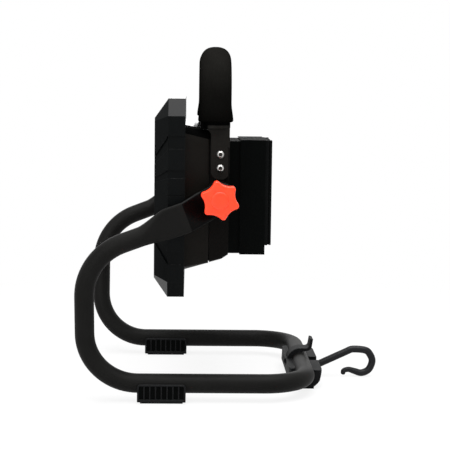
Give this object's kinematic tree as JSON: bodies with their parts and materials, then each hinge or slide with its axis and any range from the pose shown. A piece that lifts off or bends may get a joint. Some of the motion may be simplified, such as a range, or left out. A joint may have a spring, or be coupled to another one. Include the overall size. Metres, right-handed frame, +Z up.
{
  "type": "work light",
  "caption": "Cordless flood work light: tilting lamp head with carrying handle and battery dock, clamped by star knobs in a bent tube stand with a hanging hook.",
  "frame": {"origin": "middle of the whole outline, on the ground", "axes": "+Z up; +X along the tilt axis towards the right knob; the beam leaves along -Y and the hook points along +Y"},
  "size_m": [0.3254, 0.3268, 0.364],
  "materials": {
    "tube": "black powder coat, soft sheen",
    "pads": "moulded rubber",
    "screws": "bright zinc plate",
    "nylon": "fine moulded texture",
    "hook": "satin coating over a rod",
    "frame": "near-black satin, fine texture",
    "lens": "clear, smooth",
    "gaskets": "matt rubber",
    "reflector": "white, glossy",
    "led_board": "white solder mask on aluminium",
    "led_chips": "yellow phosphor",
    "heat_sink": "bare extruded",
    "wires": "red wire insulation",
    "housing": "warm black satin, fine texture",
    "board": "green solder mask",
    "dock": "cool dark grey satin",
    "rails": "smooth, worn where the battery slides",
    "terminal_block": "smooth",
    "blades": "bright",
    "switch": "smooth",
    "button": "soft rubber",
    "handle_bar": "warm black satin",
    "grip": "matt foam rubber",
    "knobs": "orange-red, slightly glossy"
  },
  "bodies": {
    "stand": {"stand_tube": "tube", "foot_pad_right": "pads", "foot_pad_left": "pads", "pad_screws": "screws", "hook_holder": "nylon", "hook_pin": "screws", "clip_pin_rod": "screws"},
    "head": {"front_frame": "frame", "frame_screws": "screws", "lens": "lens", "lens_gasket": "gaskets", "reflector": "reflector", "led_board": "led_board", "led_chips": "led_chips", "heat_sink": "heat_sink", "heat_sink_screws": "screws", "lead_wires": "wires", "mid_housing": "housing", "seam_gasket": "gaskets", "rear_housing": "housing", "housing_screws": "screws", "driver_board": "board", "driver_board_screws": "screws", "battery_leads": "wires", "battery_dock": "dock", "dock_screws": "screws", "rail_plate": "rails", "rail_screws": "screws", "terminal_block": "terminal_block", "terminal_blades": "blades", "switch_body": "switch", "handle_bar": "handle_bar", "handle_grip": "grip", "handle_screws": "screws", "pivot_studs": "screws", "friction_washers": "gaskets"},
    "power_button": {"power_button": "button"},
    "hook": {"hook": "hook"},
    "clip": {"clip_strap": "nylon"},
    "washer_right": {"knob_washer_right": "screws"},
    "knob_right": {"knob_right": "knobs"},
    "washer_left": {"knob_washer_left": "screws"},
    "knob_left": {"knob_left": "knobs"}
  },
  "joints": [
    {"name": "head_tilt", "type": "hinge", "parent": "stand", "child": "head", "pos_m": [0, -0.01785, 0.212], "axis": [1, 0, 0], "continuous": true},
    {"name": "power_press", "type": "slide", "parent": "head", "child": "power_button", "axis": [0, 0, -1], "range_m": [0, 0.0015], "stiffness_N_per_m": 400, "springref_m": -0.001},
    {"name": "hook_swing", "type": "hinge", "parent": "stand", "child": "hook", "pos_m": [0, 0.08913, 0.00964], "axis": [1, 0, 0], "range_deg": [-45, 44]},
    {"name": "clip_open", "type": "hinge", "parent": "stand", "child": "clip", "pos_m": [0, 0.06315, 0.0194], "axis": [1, 0, 0], "range_deg": [0, 90]},
    {"name": "washer_right_shift", "type": "slide", "parent": "head", "child": "washer_right", "axis": [1, 0, 0], "range_m": [0, 0.0026]},
    {"name": "knob_right_spin", "type": "hinge", "parent": "washer_right", "child": "knob_right", "pos_m": [0.1475, -0.01785, 0.212], "axis": [1, 0, 0], "range_deg": [0, 720]},
    {"name": "washer_left_shift", "type": "slide", "parent": "head", "child": "washer_left", "axis": [-1, 0, 0], "range_m": [0, 0.0026]},
    {"name": "knob_left_spin", "type": "hinge", "parent": "washer_left", "child": "knob_left", "pos_m": [-0.1475, -0.01785, 0.212], "axis": [-1, 0, 0], "range_deg": [0, 720]}
  ],
  "couplings": [
    {"joint": "washer_right_shift", "follows": "knob_right_spin", "m_per_rad": 0.00019894},
    {"joint": "washer_left_shift", "follows": "knob_left_spin", "m_per_rad": 0.00019894}
  ]
}
